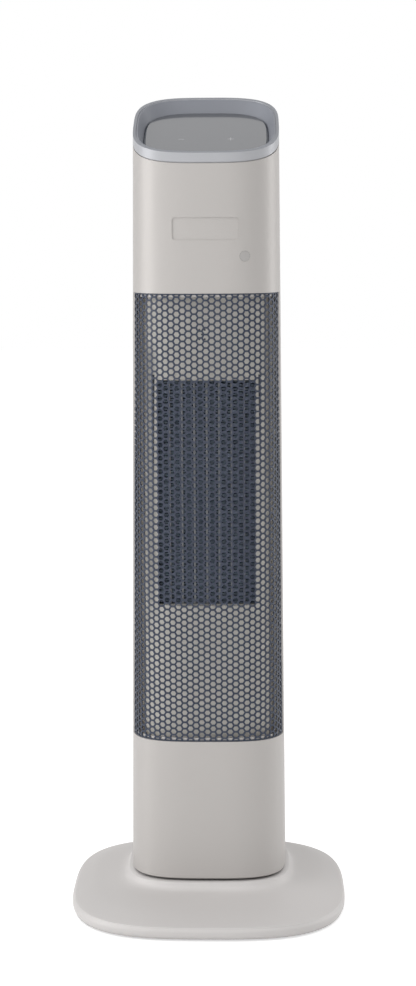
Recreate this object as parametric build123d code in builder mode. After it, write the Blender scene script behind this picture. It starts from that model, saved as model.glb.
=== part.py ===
"""Ceramic tower heater with a slanted control top, on an oscillating squared-oval base.

Millimetres. The origin is the middle of the base on the floor, +Z is up and the front faces -Y.
"""
from build123d import *
from math import atan2, cos, pi, radians, sin, tan
import os

# Overall sizes
tower_bottom = 28.0            # underside of the turning tower above the floor
seam_height = 650.3            # front of the joint between the shells and the top ring
tower_y = 18.0                 # the tower stands behind the middle of the base
tower_half_width_low = 69.1    # at the tower's bottom edge
tower_half_width_high = 62.5   # at the front of the seam
tower_half_depth_low = 56.5
tower_half_depth_high = 52.0
tower_exponent = 3.4           # how square the tower's plan is
edge_softening = 1.2           # chamfer round the tower's bottom edge
shell_wall = 2.6
split_y = 30.0                 # plane where front and rear shells meet
fit = 0.2                      # clearance between pieces that seat in each other
running_gap = 0.4              # clearance between pieces that turn or slide
overshoot = 30.0               # how far a cutting tool runs past what it cuts
outline_points = 32

# Base
base_half_width = 121.4
base_half_depth = 111.7
base_exponent = 3.1
base_wall = 2.5
base_skirt_bottom = 2.2
pedestal_top = 26.0
pedestal_margin = 3.0          # the pedestal stands this far outside the tower
base_plate_thickness = 2.4
base_plate_bottom = 3.0
base_screw_x = 60.0
base_screw_y = (-70.0, 78.0)
base_boss_radius = 5.0
base_boss_top = 14.2
foot_radius = 9.0
foot_plug_radius = 3.2
foot_x = 82.0
foot_y = 74.0
weight_thickness = 4.0
weight_inset = 16.0

# Turntable and oscillation drive
swing_degrees = 30.0
post_radius = 11.0
post_bore = 7.0
post_neck = 9.0
post_flange_radius = 15.0
post_flange = 2.4
slide_ring_radius = 25.0
floor_thickness = 3.0
floor_lift = 0.6               # tower floor above the shells' bottom edge
retaining_ring_radius = 15.0
retaining_ring_thickness = 2.6
crank_distance = 34.0          # drive shaft to turning axis
crank_pin_radius = 2.5
crank_hub_radius = 7.0
drive_shaft_radius = 3.0
crank_low = 16.5
crank_thickness = 4.0
track_top = 14.0
track_floor = 2.0
pin_bottom = 9.0
drive_motor_radius = 21.0
drive_motor_height = 20.0
drive_motor_offset = 6.5       # the gear motor's shaft is off its middle
shaft_engagement = 8.0

# Front grille
grille_low = 153.0
grille_high = 542.0
grille_back_y = -6.0           # the mesh wraps round the corners to this plane
sheet_thickness = 0.8
sheet_inset = 0.9
sheet_border = 9.0
ledge = 3.2
mesh_pitch = 14.85             # three times the pitch of the fine real holes
mesh_hole = 11.0               # across flats
mesh_columns = 9

# Duct and heater
duct_inset = 9.5
duct_wall = 2.0
duct_back_y = 4.0
duct_margin = 4.0              # duct beyond the grille opening, above and below
duct_flange = 3.0
shelf_thickness = 2.0
heater_low = 272.0
heater_high = 468.0
heater_width = 84.0
heater_front_y = -18.0
heater_depth = 18.0
heater_rim = 4.0
collar_wall = 2.0
fin_columns = 8
strip_width = 1.8
fin_pitch = 6.5
fin_thickness = 0.7
fin_wall = 0.5
strip_setback = 2.0
fin_setback = 3.0
terminal_size = (6.3, 0.8, 10.0)
thermostat_radius = 6.5
thermostat_height = 8.0
thermostat_x = 32.0

# Blower
fan_y = 31.0
fan_radius = 27.0
fan_blade_depth = 7.0
fan_blade_thickness = 1.0
fan_blade_count = 24
fan_blade_lean = 28.0
fan_disc_thickness = 2.0
fan_disc_count = 4
fan_shaft_radius = 3.0
fan_collar_radius = 5.0
fan_end_gap = 3.0
blower_margin = 6.0            # blower housing beyond the heater's window, above and below
end_plate = 3.0
scroll_wall = 2.0
scroll_gap = 3.0
scroll_start = -40.0
scroll_sweep = 97.0
blower_half_width = 44.0
blower_back_y = 59.0
fan_motor_radius = 23.0
fan_motor_height = 40.0
bracket_thickness = 4.0
bearing_radius = 8.0
bearing_height = 8.0
bearing_wall = 3.0
bearing_flange_radius = 16.0
bearing_flange = 2.5

# Rear shell
louvre_low = 262.0
louvre_pitch = 9.0
louvre_rows = 23
louvre_height = 4.2
louvre_width = 36.0
louvre_bridge = 5.0            # solid strip between the two columns of louvres
filter_thickness = 3.0
filter_half_width = 44.0
filter_margin = 6.0
filter_bar = 5.0
handle_height = 606.0
handle_width = 76.0
handle_opening = 26.0
handle_depth = 24.0
handle_wall = 2.0
screw_x = 49.0
screw_heights = (84.0, 596.0)
screw_radius = 1.7
screw_head_radius = 3.2
screw_head_height = 2.4
screw_bite = 10.0
screw_hole_deep = 7.0          # pilot holes in the base's bosses
screw_bite_low = 6.0           # how far the base's screws reach into them
base_screw_head = 1.8
boss_radius = 4.6
boss_length = 16.0
boss_floor = 6.0

# Switch and cord inlet at the rear
switch_height = 96.0
switch_width = 19.0
switch_tall = 13.0
switch_depth = 16.0
switch_flange = 1.5
switch_flange_margin = 1.8
rocker_side_wall = 1.6
rocker_throw = 8.0             # the key tilts this far each side of level
rocker_axis_depth = 3.0
rocker_half_tall = 4.2
rocker_crest = 4.4
rocker_dip = 0.8
rocker_root = 4.0
trunnion_radius = 1.2          # round pins that carry the key in its body
trunnion_reach = 0.8           # how far they stand into the body's side walls
gland_height = 52.0
gland_bore = 3.6
gland_radius = 6.0
gland_flange_radius = 8.5
gland_flange = 1.8
gland_nut = 3.5

# Slanted top
rim_slant = 25.7
rim_front_height = 658.6
seam_slant = 25.3
ring_wall = 2.5
ring_flange_width = 4.4
ring_flange = 1.2
seam_gap = 1.0
seam_groove = 1.0              # how deep the shadow line of the seam is
skirt_wall = 1.6
skirt_drop = 8.0
ring_ledge = 2.0
ring_ledge_outer = 3.4         # the ledge grows out of the skirt's inner face
ring_ledge_inner = 11.5
dish_lip = 1.0
dish_lip_depth = 0.6           # the dish's edge below the rim
dish_floor_depth = 10.8
dish_floor = 2.2
dish_floor_inset = 9.2
dish_under_inset = 8.0
panel_inset = 10.6
panel_thickness = 2.2
board_standoff = 4.0
standoff_radius = 3.0
board_thickness = 1.6
board_width = 84.0
board_depth = 60.0
board_edge = 5.0
board_screw_radius = 1.2
buzzer_radius = 6.0
buzzer_height = 6.0

# Small front details
badge_height = 596.0
badge_width = 56.0
badge_tall = 19.0
badge_recess = 0.8
badge_corner = 3.0
sensor_x = 33.0
sensor_height = 573.0
sensor_radius = 4.3
receiver_size = (9.0, 6.0, 10.0)

# Electronics
power_board_width = 92.0
power_board_tall = 96.0
power_board_y = -14.0
relay_size = (16.0, 14.0, 20.0)
relay_x = (-26.0, 0.0)
relay_low = 60.0
capacitor_radius = 6.5
capacitor_length = 22.0
capacitor_x = 28.0

# Tip-over switch
tip_x = 68.0
tip_y = -40.0
tip_plunger_radius = 4.0
tip_collar_radius = 6.0
tip_collar = 1.8
tip_travel = 2.4
tip_floor_clear = 0.5
tip_body_width = 17.0
tip_body_tall = 9.0
tip_wall = 1.4

os.makedirs("parts", exist_ok=True)


def half_width_at(height):
    """Half of the tower's width at a height: it tapers evenly up to the seam and on."""
    share = (height - tower_bottom) / (seam_height - tower_bottom)
    return tower_half_width_low + share * (tower_half_width_high - tower_half_width_low)


def half_depth_at(height):
    """Half of the tower's depth at a height."""
    share = (height - tower_bottom) / (seam_height - tower_bottom)
    return tower_half_depth_low + share * (tower_half_depth_high - tower_half_depth_low)


def outline_point(half_width, half_depth, exponent, centre_y, angle):
    """Point of the outline |x/a|^n + |y/b|^n = 1 at an angle seen from its middle."""
    reach = abs(cos(angle) / half_width) ** exponent + abs(sin(angle) / half_depth) ** exponent
    radius = reach ** (-1 / exponent)
    return radius * cos(angle), centre_y + radius * sin(angle)


def squircle(half_width, half_depth, exponent, centre_y=0.0):
    """Closed smooth squared oval, drawn in the current line."""
    turns = [2 * pi * step / outline_points for step in range(outline_points)]
    points = [outline_point(half_width, half_depth, exponent, centre_y, turn) for turn in turns]
    Spline(*points, periodic=True)


def tower_section(inset, height):
    """The tower's plan at a height, drawn in by inset."""
    with BuildSketch(Plane.XY.offset(height)) as plan:
        with BuildLine():
            squircle(half_width_at(height) - inset, half_depth_at(height) - inset,
                     tower_exponent, tower_y)
        make_face()
    return plan.sketch


def tower_loft(inset, low, high, mode=Mode.ADD):
    """The tower's tapered block between two heights."""
    loft([tower_section(inset, low), tower_section(inset, high)], ruled=True, mode=mode)


def tower_skin(outer, inner, low, high):
    """A tapered tube between two insets of the tower's outline."""
    tower_loft(outer, low, high)
    tower_loft(inner, low, high, Mode.SUBTRACT)


def keep_front(plane_y):
    """Keep what lies in front of a plane across the tower."""
    split(bisect_by=Plane.XZ.offset(-plane_y), keep=Keep.TOP)


def keep_back(plane_y):
    """Keep what lies behind a plane across the tower."""
    split(bisect_by=Plane.XZ.offset(-plane_y), keep=Keep.BOTTOM)


def block(low, high, mode=Mode.ADD):
    """A box from its lowest to its highest corner."""
    middle = [(a + b) / 2 for a, b in zip(low, high)]
    with Locations(tuple(middle)):
        Box(*[b - a for a, b in zip(low, high)], mode=mode)


def pin(radius, x, y, low, high, mode=Mode.ADD):
    """An upright round bar between two heights."""
    with Locations((x, y, (low + high) / 2)):
        Cylinder(radius, high - low, mode=mode)


def bar(radius, x, z, front, back, mode=Mode.ADD):
    """A round bar from front to back."""
    with Locations((x, (front + back) / 2, z)):
        Cylinder(radius, back - front, rotation=(90, 0, 0), mode=mode)


def save(name, piece):
    """Label a finished piece and write it."""
    piece.part.label = name
    export_step(piece.part, f"parts/{name}.step")


# Base: a low dome that flares up into the pedestal under the tower
pedestal_half_width = tower_half_width_low + pedestal_margin
pedestal_half_depth = tower_half_depth_low + pedestal_margin

# Each step is (share of the way from the edge to the pedestal, inset, height)
dome_steps = (
    (0.00, 1.2, base_skirt_bottom),
    (0.00, 0.0, 5.0),
    (0.00, 0.0, 8.5),
    (0.00, 1.3, 11.0),
    (0.00, 4.0, 12.7),
    (0.35, 0.0, 15.6),
    (0.65, 0.0, 17.2),
    (0.86, 0.0, 18.8),
    (0.95, 0.0, 21.2),
    (1.00, 0.0, pedestal_top),
)


def base_section(share, inset, height):
    """The base's plan, a share of the way from its edge to the pedestal."""
    with BuildSketch(Plane.XY.offset(height)) as plan:
        with BuildLine():
            squircle(base_half_width + share * (pedestal_half_width - base_half_width) - inset,
                     base_half_depth + share * (pedestal_half_depth - base_half_depth) - inset,
                     base_exponent + share * (tower_exponent - base_exponent),
                     share * tower_y)
        make_face()
    return plan.sketch


def dome_loft(wall, mode=Mode.ADD):
    """The base's dome, or with a wall the hollow under it."""
    sections = []
    for share, inset, height in dome_steps:
        drop = wall / 2 if height == base_skirt_bottom else wall
        sections.append(base_section(share, inset + wall, height - drop))
    loft(sections, ruled=True, mode=mode)


plate_top = base_plate_bottom + base_plate_thickness
deck_underside = pedestal_top - base_wall
floor_low = tower_bottom + floor_lift
floor_top = floor_low + floor_thickness
shaft_sweep = swing_degrees + 3
base_screw_spots = [(x, y) for x in (-base_screw_x, base_screw_x) for y in base_screw_y]
foot_spots = [(x, y) for x in (-foot_x, foot_x) for y in (-foot_y, foot_y)]

with BuildPart() as base_cover:
    dome_loft(0)
    dome_loft(base_wall, Mode.SUBTRACT)
    for x, y in base_screw_spots:
        pin(base_boss_radius, x, y, plate_top, base_boss_top)
        pin(screw_radius, x, y, plate_top, plate_top + screw_hole_deep, Mode.SUBTRACT)
    pin(post_radius + fit, 0, tower_y, deck_underside - 1, pedestal_top + 1, Mode.SUBTRACT)
    # Arc that the drive shaft sweeps through the pedestal's deck
    with BuildSketch(Plane.XY.offset(deck_underside - 1)):
        SlotArc(CenterArc((0, tower_y), crank_distance, 180 - shaft_sweep, 2 * shaft_sweep),
                2 * (drive_shaft_radius + 1.5), mode=Mode.ADD)
    extrude(amount=base_wall + 2, mode=Mode.SUBTRACT)
save("base_cover", base_cover)

tip_hole = tip_plunger_radius + running_gap
with BuildPart() as base_plate:
    extrude(base_section(0, base_wall + 2 * fit, base_plate_bottom), amount=base_plate_thickness)
    for x, y in base_screw_spots:
        pin(screw_radius + fit, x, y, base_plate_bottom - 1, plate_top + 1, Mode.SUBTRACT)
    for x, y in foot_spots:
        pin(foot_plug_radius + fit, x, y, base_plate_bottom - 1, plate_top + 1, Mode.SUBTRACT)
    pin(tip_hole, tip_x, tip_y, base_plate_bottom - 1, plate_top + 1, Mode.SUBTRACT)
save("base_plate", base_plate)

with BuildPart() as rubber_feet:
    for x, y in foot_spots:
        pin(foot_radius, x, y, 0, base_plate_bottom)
        pin(foot_plug_radius, x, y, base_plate_bottom, plate_top)
save("rubber_feet", rubber_feet)

with BuildPart() as base_screws:
    for x, y in base_screw_spots:
        pin(screw_head_radius, x, y, base_plate_bottom - base_screw_head, base_plate_bottom)
        pin(screw_radius - fit / 2, x, y, base_plate_bottom, plate_top + screw_bite_low)
save("base_screws", base_screws)

# Drive geometry: the crank pin runs in a straight track fixed in the base
crank_throw = crank_distance * tan(radians(swing_degrees))
crank_gear = 90 / swing_degrees


def pin_error(crank_angle):
    """How far a steady gearing leaves the pin beside the middle of its track."""
    across = crank_throw * sin(radians(crank_angle))
    along = crank_distance + crank_throw * cos(radians(crank_angle))
    turn = atan2(across, along) - radians(crank_angle / crank_gear)
    return (across ** 2 + along ** 2) ** 0.5 * abs(sin(turn))


track_slack = max(pin_error(step) for step in range(0, 91, 5)) + running_gap
track_half_slot = crank_pin_radius + track_slack
track_half_width = track_half_slot + 5.0
track_outer_x = -(crank_distance + crank_throw + track_half_slot + 3.0)
track_inner_x = -(crank_distance - crank_throw - track_half_slot - 3.0)
shaft_x = -crank_distance

with BuildPart() as base_weight:
    extrude(base_section(0, weight_inset, plate_top), amount=weight_thickness)
    for x, y in base_screw_spots:
        pin(base_boss_radius + 1, x, y, plate_top - 1, plate_top + weight_thickness + 1,
            Mode.SUBTRACT)
    for x, y in foot_spots:
        pin(foot_plug_radius + 1, x, y, plate_top - 1, plate_top + weight_thickness + 1,
            Mode.SUBTRACT)
    block((track_outer_x - 2, tower_y - track_half_width - 2, plate_top - 1),
          (track_inner_x + 2, tower_y + track_half_width + 2, plate_top + weight_thickness + 1),
          Mode.SUBTRACT)
    block((tip_x - tip_body_width / 2 - 1, tip_y - tip_body_width / 2 - 1, plate_top - 1),
          (tip_x + tip_body_width / 2 + 1, tip_y + tip_body_width / 2 + 1,
           plate_top + weight_thickness + 1), Mode.SUBTRACT)
save("base_weight", base_weight)

with BuildPart() as crank_track:
    block((track_outer_x, tower_y - track_half_width, plate_top),
          (track_inner_x, tower_y + track_half_width, track_top))
    with BuildSketch(Plane.XY.offset(plate_top + track_floor)):
        with Locations((shaft_x, tower_y)):
            SlotCenterToCenter(2 * crank_throw, 2 * track_half_slot)
    extrude(amount=track_top, mode=Mode.SUBTRACT)
save("crank_track", crank_track)

with BuildPart() as pivot_post:
    pin(post_flange_radius, 0, tower_y, deck_underside - post_flange, deck_underside)
    pin(post_radius, 0, tower_y, deck_underside, floor_top + running_gap)
    pin(post_neck, 0, tower_y, floor_top + running_gap,
        floor_top + running_gap + retaining_ring_thickness + 1)
    pin(post_bore, 0, tower_y, deck_underside - post_flange - 1,
        floor_top + retaining_ring_thickness + 4, Mode.SUBTRACT)
save("pivot_post", pivot_post)

with BuildPart() as slide_ring:
    pin(slide_ring_radius, 0, tower_y, pedestal_top, floor_low - running_gap / 2)
    pin(post_radius + fit, 0, tower_y, pedestal_top - 1, floor_low + 1, Mode.SUBTRACT)
save("slide_ring", slide_ring)

with BuildPart() as retaining_ring:
    pin(retaining_ring_radius, 0, tower_y, floor_top + running_gap,
        floor_top + running_gap + retaining_ring_thickness)
    pin(post_neck + fit / 2, 0, tower_y, floor_top, floor_top + retaining_ring_thickness + 2,
        Mode.SUBTRACT)
save("retaining_ring", retaining_ring)

# Tip-over switch: a sprung pin that the floor pushes up
tip_body_top = plate_top + tip_body_tall
with BuildPart() as tip_switch_body:
    block((tip_x - tip_body_width / 2, tip_y - tip_body_width / 2, plate_top),
          (tip_x + tip_body_width / 2, tip_y + tip_body_width / 2, tip_body_top))
    pin(tip_collar_radius + running_gap, tip_x, tip_y, plate_top + tip_wall,
        tip_body_top - tip_wall, Mode.SUBTRACT)
    pin(tip_hole, tip_x, tip_y, plate_top - 1, plate_top + tip_wall + 1, Mode.SUBTRACT)
save("tip_switch_body", tip_switch_body)

collar_low = plate_top + tip_wall + tip_travel + running_gap
with BuildPart() as tip_switch_plunger:
    pin(tip_plunger_radius, tip_x, tip_y, tip_floor_clear, collar_low)
    pin(tip_collar_radius, tip_x, tip_y, collar_low, collar_low + tip_collar)
save("tip_switch_plunger", tip_switch_plunger)

# Tower floor and the drive that swings the tower
with BuildPart() as tower_floor:
    tower_loft(shell_wall + fit, floor_low, floor_top)
    pin(post_radius + running_gap, 0, tower_y, floor_low - 1, floor_top + 1, Mode.SUBTRACT)
    pin(drive_shaft_radius + running_gap, shaft_x, tower_y, floor_low - 1, floor_top + 1,
        Mode.SUBTRACT)
save("tower_floor", tower_floor)

drive_motor_x = shaft_x - drive_motor_offset
with BuildPart() as drive_motor:
    pin(drive_motor_radius, drive_motor_x, tower_y, floor_top, floor_top + drive_motor_height)
    pin(drive_shaft_radius + running_gap, shaft_x, tower_y, floor_top - 1,
        floor_top + shaft_engagement + 1, Mode.SUBTRACT)
save("drive_motor", drive_motor)

crank_top = crank_low + crank_thickness
pin_x = shaft_x - crank_throw
with BuildPart() as drive_crank:
    with BuildSketch(Plane.XY.offset(crank_low)):
        with Locations(((shaft_x + pin_x) / 2, tower_y)):
            SlotCenterToCenter(crank_throw, 2 * (crank_pin_radius + 2))
        with Locations((shaft_x, tower_y)):
            Circle(crank_hub_radius)
    extrude(amount=crank_thickness)
    pin(crank_pin_radius, pin_x, tower_y, pin_bottom, crank_low)
    pin(drive_shaft_radius, shaft_x, tower_y, crank_top, floor_top + shaft_engagement)
save("drive_crank", drive_crank)



def leaning_plane(slant, front_height):
    """A plane that leans forward by some degrees, from a height at the tower's front."""
    tilt = radians(slant)
    middle_height = front_height + half_depth_at(front_height) * tan(tilt)
    return Plane(origin=(0, tower_y, middle_height), x_dir=(1, 0, 0),
                 z_dir=(0, -sin(tilt), cos(tilt)))


# Outer shells, cut off by the slanted seam
seam_plane = leaning_plane(seam_slant, seam_height)
rim_plane = leaning_plane(rim_slant, rim_front_height)
skin_top = rim_plane.origin.Z + 2 * overshoot


def shell_form():
    """The whole tower skin with its softened bottom edge, before it is parted."""
    loft([tower_section(edge_softening, tower_bottom),
          tower_section(0, tower_bottom + edge_softening),
          tower_section(0, skin_top)], ruled=True)
    tower_loft(shell_wall, tower_bottom - 1, skin_top + 1, Mode.SUBTRACT)
    split(bisect_by=seam_plane.offset(-seam_gap / 2), keep=Keep.BOTTOM)


with BuildPart() as grille_rebate:
    tower_skin(-shell_wall, sheet_inset + sheet_thickness + fit / 2, grille_low, grille_high)
    keep_front(grille_back_y)

duct_low = grille_low - duct_margin - duct_flange
duct_high = grille_high + duct_margin + duct_flange
with BuildPart() as shelves:
    for low in (duct_low - shelf_thickness, duct_high):
        tower_skin(shell_wall - 1, duct_inset, low, low + shelf_thickness)
    keep_front(duct_back_y)

with BuildPart() as front_bosses:
    for height in screw_heights:
        bar(boss_radius, screw_x, height, split_y - boss_length, split_y)
        block((screw_x, split_y - boss_length, height - screw_radius),
              (tower_half_width_low + overshoot, split_y, height + screw_radius))
        bar(screw_radius, screw_x, height, split_y - screw_bite - 1, split_y + 1, Mode.SUBTRACT)
    mirror(about=Plane.YZ)
    tower_loft(shell_wall - 1, tower_bottom, seam_height, Mode.INTERSECT)

front_y_badge = tower_y - half_depth_at(badge_height)
with BuildPart() as badge_tool:
    with BuildSketch(Plane.XZ.offset(-front_y_badge - overshoot)):
        with Locations((0, badge_height)):
            RectangleRounded(badge_width, badge_tall, badge_corner)
    extrude(amount=2 * overshoot)
    tower_loft(badge_recess, badge_height - overshoot, badge_height + overshoot, Mode.SUBTRACT)
    keep_front(tower_y)

with BuildPart() as front_shell:
    shell_form()
    keep_front(split_y)
    add(grille_rebate.part, mode=Mode.SUBTRACT)
    block((-tower_half_width_low - overshoot, tower_y - tower_half_depth_low - overshoot,
           grille_low + ledge),
          (tower_half_width_low + overshoot, grille_back_y - ledge, grille_high - ledge),
          Mode.SUBTRACT)
    add(shelves.part)
    add(front_bosses.part)
    add(badge_tool.part, mode=Mode.SUBTRACT)
    bar(sensor_radius + fit / 2, sensor_x, sensor_height, front_y_badge - overshoot, tower_y,
        Mode.SUBTRACT)
save("front_shell", front_shell)

# Perforated front sheet, bent round the tower's corners
sheet_middle = (grille_low + grille_high) / 2


def sheet_walk(distance):
    """Point and outward direction on the sheet, a distance along it from its middle."""
    half_width = half_width_at(sheet_middle) - sheet_inset
    half_depth = half_depth_at(sheet_middle) - sheet_inset
    steps = 400
    walked = 0.0
    last = outline_point(half_width, half_depth, tower_exponent, tower_y, -pi / 2)
    for step in range(1, steps):
        angle = -pi / 2 + pi / 2 * step / steps
        here = outline_point(half_width, half_depth, tower_exponent, tower_y, angle)
        run = (here[0] - last[0], here[1] - last[1])
        length = (run[0] ** 2 + run[1] ** 2) ** 0.5
        walked += length
        if walked >= abs(distance):
            side = 1 if distance >= 0 else -1
            return (side * here[0], here[1]), (side * run[1] / length, -run[0] / length)
        last = here
    raise ValueError("the sheet is shorter than that")


hex_row_pitch = mesh_pitch * 2 / 3 ** 0.5
mesh_rows = int((grille_high - grille_low - 2 * sheet_border) / hex_row_pitch)
with BuildPart() as mesh_grille:
    tower_skin(sheet_inset, sheet_inset + sheet_thickness, grille_low + fit, grille_high - fit)
    keep_front(grille_back_y - fit)
    for column in range(mesh_columns):
        offset_column = column - (mesh_columns - 1) / 2
        spot, outward = sheet_walk(offset_column * mesh_pitch)
        lift = hex_row_pitch / 4 * (1 if column % 2 else -1)
        frame = Plane(origin=(spot[0], spot[1], sheet_middle + lift),
                      x_dir=(-outward[1], outward[0], 0), z_dir=(outward[0], outward[1], 0))
        with BuildSketch(frame):
            with GridLocations(1, hex_row_pitch, 1, mesh_rows - 1):
                RegularPolygon(mesh_hole / 2, 6, major_radius=False)
        extrude(amount=mesh_pitch / 4, both=True, mode=Mode.SUBTRACT)
save("mesh_grille", mesh_grille)

with BuildPart() as sensor_window:
    bar(sensor_radius, sensor_x, sensor_height, front_y_badge - overshoot, tower_y)
    tower_loft(fit, sensor_height - overshoot, sensor_height + overshoot, Mode.INTERSECT)
    tower_loft(shell_wall, sensor_height - overshoot, sensor_height + overshoot, Mode.SUBTRACT)
save("sensor_window", sensor_window)

receiver_edge = sensor_x + receiver_size[0] / 2
sensor_share = (receiver_edge / (half_width_at(sensor_height) - shell_wall)) ** tower_exponent
receiver_front = fit + tower_y - (half_depth_at(sensor_height) - shell_wall) * (
    1 - sensor_share) ** (1 / tower_exponent)
with BuildPart() as sensor_receiver:
    block((sensor_x - receiver_size[0] / 2, receiver_front, sensor_height - receiver_size[2] / 2),
          (receiver_edge, receiver_front + receiver_size[1],
           sensor_height + receiver_size[2] / 2))
save("sensor_receiver", sensor_receiver)

# Duct behind the sheet, with a window and collar for the heater
collar_half_width = heater_width / 2 + collar_wall
with BuildPart() as duct_collar:
    block((-collar_half_width, tower_y - tower_half_depth_low - overshoot, heater_low - collar_wall),
          (collar_half_width, heater_front_y, heater_high + collar_wall))
    tower_loft(duct_inset + duct_wall / 4, heater_low - overshoot, heater_high + overshoot,
               Mode.INTERSECT)

with BuildPart() as duct_wings:
    tower_skin(shell_wall + 2 * fit, duct_inset + duct_wall / 2, duct_low + duct_flange / 2,
               duct_high - duct_flange / 2)
    keep_front(duct_back_y - 2 * fit)
    keep_back(duct_back_y - duct_flange)

with BuildPart() as air_duct:
    tower_skin(duct_inset, duct_inset + duct_wall, duct_low, duct_high)
    for low in (duct_low, duct_high - duct_flange):
        tower_skin(shell_wall + fit, duct_inset + 1, low, low + duct_flange)
    keep_front(duct_back_y - fit)
    add(duct_collar.part)
    add(duct_wings.part)
    block((-heater_width / 2, tower_y - tower_half_depth_low - overshoot, heater_low),
          (heater_width / 2, heater_front_y + 1, heater_high), Mode.SUBTRACT)
    block((-heater_width / 2 - heater_rim - fit, heater_front_y, heater_low - heater_rim - fit),
          (heater_width / 2 + heater_rim + fit, duct_back_y, heater_high + heater_rim + fit),
          Mode.SUBTRACT)
save("air_duct", air_duct)

# Heater block: fins between ceramic strips, in a frame
heater_back_y = heater_front_y + heater_depth
with BuildPart() as heater_frame:
    block((-heater_width / 2 - heater_rim, heater_front_y, heater_low - heater_rim),
          (heater_width / 2 + heater_rim, heater_back_y, heater_high + heater_rim))
    block((-heater_width / 2, heater_front_y - 1, heater_low),
          (heater_width / 2, heater_back_y + 1, heater_high), Mode.SUBTRACT)
save("heater_frame", heater_frame)

column_width = (heater_width - (fin_columns - 1) * strip_width) / fin_columns
column_pitch = column_width + strip_width
heater_middle = (heater_low + heater_high) / 2
with BuildPart() as ceramic_strips:
    with Locations((0, (heater_front_y + heater_back_y) / 2, heater_middle)):
        with GridLocations(column_pitch, 1, fin_columns - 1, 1):
            Box(strip_width, heater_depth - 2 * strip_setback, heater_high - heater_low)
save("ceramic_strips", ceramic_strips)

fin_rows = int((heater_high - heater_low) / fin_pitch) - 1
with BuildPart() as heater_fins:
    with BuildSketch(Plane.XZ.offset(-heater_front_y - fin_setback)):
        with Locations((0, heater_middle)):
            with GridLocations(column_pitch, 1, fin_columns, 1):
                Rectangle(column_width, heater_high - heater_low)
                Rectangle(column_width - 2 * fin_wall, heater_high - heater_low - 2 * fin_wall,
                          mode=Mode.SUBTRACT)
            with GridLocations(column_pitch, fin_pitch, fin_columns, fin_rows):
                Rectangle(column_width, fin_thickness)
    extrude(amount=-(heater_depth - 2 * fin_setback))
save("heater_fins", heater_fins)

frame_top = heater_high + heater_rim
heater_mid_y = (heater_front_y + heater_back_y) / 2
with BuildPart() as heater_terminals:
    with Locations((0, heater_mid_y, frame_top + terminal_size[2] / 2)):
        with GridLocations(column_pitch, 1, 3, 1):
            Box(*terminal_size)
save("heater_terminals", heater_terminals)

with BuildPart() as thermal_cutout:
    pin(thermostat_radius, -thermostat_x, heater_mid_y, frame_top, frame_top + thermostat_height)
save("thermal_cutout", thermal_cutout)

with BuildPart() as thermostat:
    pin(thermostat_radius, thermostat_x, heater_mid_y, frame_top, frame_top + thermostat_height)
save("thermostat", thermostat)

# Blower: a tall cross-flow wheel in a scroll behind the heater
scroll_low = heater_low - blower_margin
scroll_high = heater_high + blower_margin
scroll_radius = fan_radius + scroll_gap
with BuildPart() as blower_housing:
    block((-blower_half_width, heater_back_y, scroll_low - end_plate),
          (blower_half_width, blower_back_y, scroll_low))
    with BuildSketch(Plane.XY.offset(scroll_low)):
        with BuildLine():
            scroll = CenterArc((0, fan_y), scroll_radius + scroll_wall / 2, scroll_start, scroll_sweep)
            Line((blower_half_width - scroll_wall, heater_back_y + scroll_wall), scroll @ 0)
        trace(line_width=scroll_wall)
        with BuildLine():
            Polyline((-blower_half_width + scroll_wall, heater_back_y + scroll_wall),
                     (-scroll_radius - scroll_wall, fan_y - scroll_radius / 2),
                     (-scroll_radius - scroll_wall, fan_y))
        trace(line_width=scroll_wall)
    extrude(amount=scroll_high - scroll_low)
    pin(fan_collar_radius + fit, 0, fan_y, scroll_low - end_plate - 1, scroll_low + 1,
        Mode.SUBTRACT)
save("blower_housing", blower_housing)

with BuildPart() as blower_cover:
    block((-blower_half_width, heater_back_y, scroll_high),
          (blower_half_width, blower_back_y, scroll_high + end_plate))
    pin(fan_collar_radius + fit, 0, fan_y, scroll_high - 1, scroll_high + end_plate + 1,
        Mode.SUBTRACT)
save("blower_cover", blower_cover)

fan_low = scroll_low + fan_end_gap
fan_high = scroll_high - fan_end_gap
disc_pitch = (fan_high - fan_low - fan_disc_thickness) / (fan_disc_count - 1)
with BuildPart() as impeller:
    with BuildSketch(Plane.XY.offset(fan_low)):
        with Locations((0, fan_y)):
            with PolarLocations(fan_radius - fan_blade_depth / 2, fan_blade_count):
                Rectangle(fan_blade_depth, fan_blade_thickness, rotation=fan_blade_lean)
    extrude(amount=fan_high - fan_low)
    for disc in range(fan_disc_count):
        low = fan_low + disc * disc_pitch
        pin(fan_radius + 0.5, 0, fan_y, low, low + fan_disc_thickness)
        if 0 < disc < fan_disc_count - 1:
            pin(fan_radius - fan_blade_depth, 0, fan_y, low - 1, low + fan_disc_thickness + 1,
                Mode.SUBTRACT)
    pin(fan_shaft_radius + fit / 2, 0, fan_y, fan_low - 1, fan_high + 1, Mode.SUBTRACT)
save("impeller", impeller)

bracket_low = scroll_low - end_plate - bracket_thickness
cover_top = scroll_high + end_plate
with BuildPart() as fan_shaft:
    pin(fan_shaft_radius, 0, fan_y, bracket_low - 10, cover_top + bearing_height)
    pin(fan_collar_radius, 0, fan_y, scroll_low - fan_end_gap, fan_low)
save("fan_shaft", fan_shaft)

with BuildPart() as motor_bracket:
    block((-blower_half_width + 6, heater_back_y + 4, bracket_low),
          (blower_half_width - 6, blower_back_y - 4, bracket_low + bracket_thickness))
    pin(fan_collar_radius + fit, 0, fan_y, bracket_low - 1, bracket_low + bracket_thickness + 1,
        Mode.SUBTRACT)
save("motor_bracket", motor_bracket)

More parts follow.
